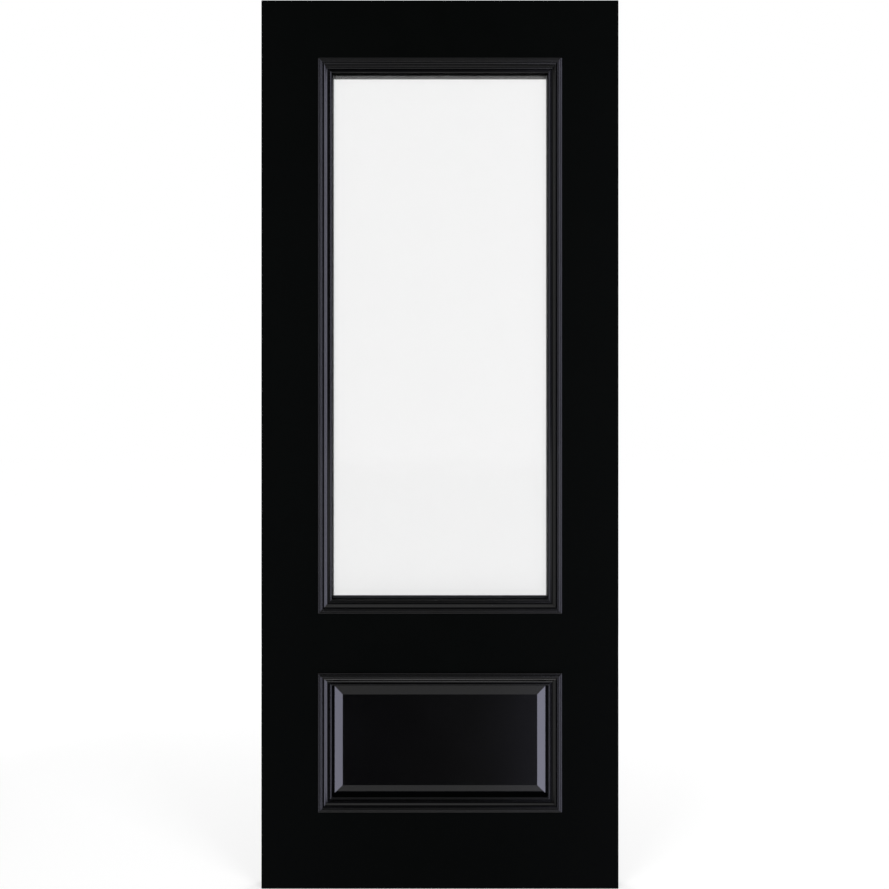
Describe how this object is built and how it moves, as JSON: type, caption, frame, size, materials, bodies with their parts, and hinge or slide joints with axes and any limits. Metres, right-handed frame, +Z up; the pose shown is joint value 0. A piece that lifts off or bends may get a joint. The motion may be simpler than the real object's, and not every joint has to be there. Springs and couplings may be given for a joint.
{
  "type": "glazed interior door leaf with raised lower panel",
  "caption": "Painted panelled door leaf with a tall satin glass pane over a raised panel, both framed by mitred mouldings on each face.",
  "frame": {"origin": "centre of the hinge-side edge face of the leaf, at mid height and mid thickness", "axes": "+X across the leaf from the hinge edge to the lock edge, -Y out of the front face, +Z up"},
  "size_m": [0.82, 0.0564, 2.04],
  "materials": {
    "painted_timber_frame": "satin black paint over timber stiles and rails",
    "painted_panel": "satin black paint over a fielded board",
    "painted_moulding": "semi-gloss black paint over machined moulding",
    "satin_glass": "satin toughened glass",
    "glazing_tape": "matt closed-cell glazing tape",
    "setting_block": "matt setting block"
  },
  "bodies": {
    "root": {"hinge_stile": "painted_timber_frame", "lock_stile": "painted_timber_frame", "top_rail": "painted_timber_frame", "middle_rail": "painted_timber_frame", "bottom_rail": "painted_timber_frame", "raised_panel": "painted_panel", "glass_pane": "satin_glass", "setting_block_left": "setting_block", "setting_block_right": "setting_block", "front_tape_left": "glazing_tape", "front_tape_right": "glazing_tape", "front_tape_bottom": "glazing_tape", "front_tape_top": "glazing_tape", "back_tape_left": "glazing_tape", "back_tape_right": "glazing_tape", "back_tape_bottom": "glazing_tape", "back_tape_top": "glazing_tape", "front_glass_moulding_left": "painted_moulding", "front_glass_moulding_right": "painted_moulding", "front_glass_moulding_bottom": "painted_moulding", "front_glass_moulding_top": "painted_moulding", "front_panel_moulding_left": "painted_moulding", "front_panel_moulding_right": "painted_moulding", "front_panel_moulding_bottom": "painted_moulding", "front_panel_moulding_top": "painted_moulding", "back_glass_moulding_left": "painted_moulding", "back_glass_moulding_right": "painted_moulding", "back_glass_moulding_bottom": "painted_moulding", "back_glass_moulding_top": "painted_moulding", "back_panel_moulding_left": "painted_moulding", "back_panel_moulding_right": "painted_moulding", "back_panel_moulding_bottom": "painted_moulding", "back_panel_moulding_top": "painted_moulding"}
  },
  "joints": []
}
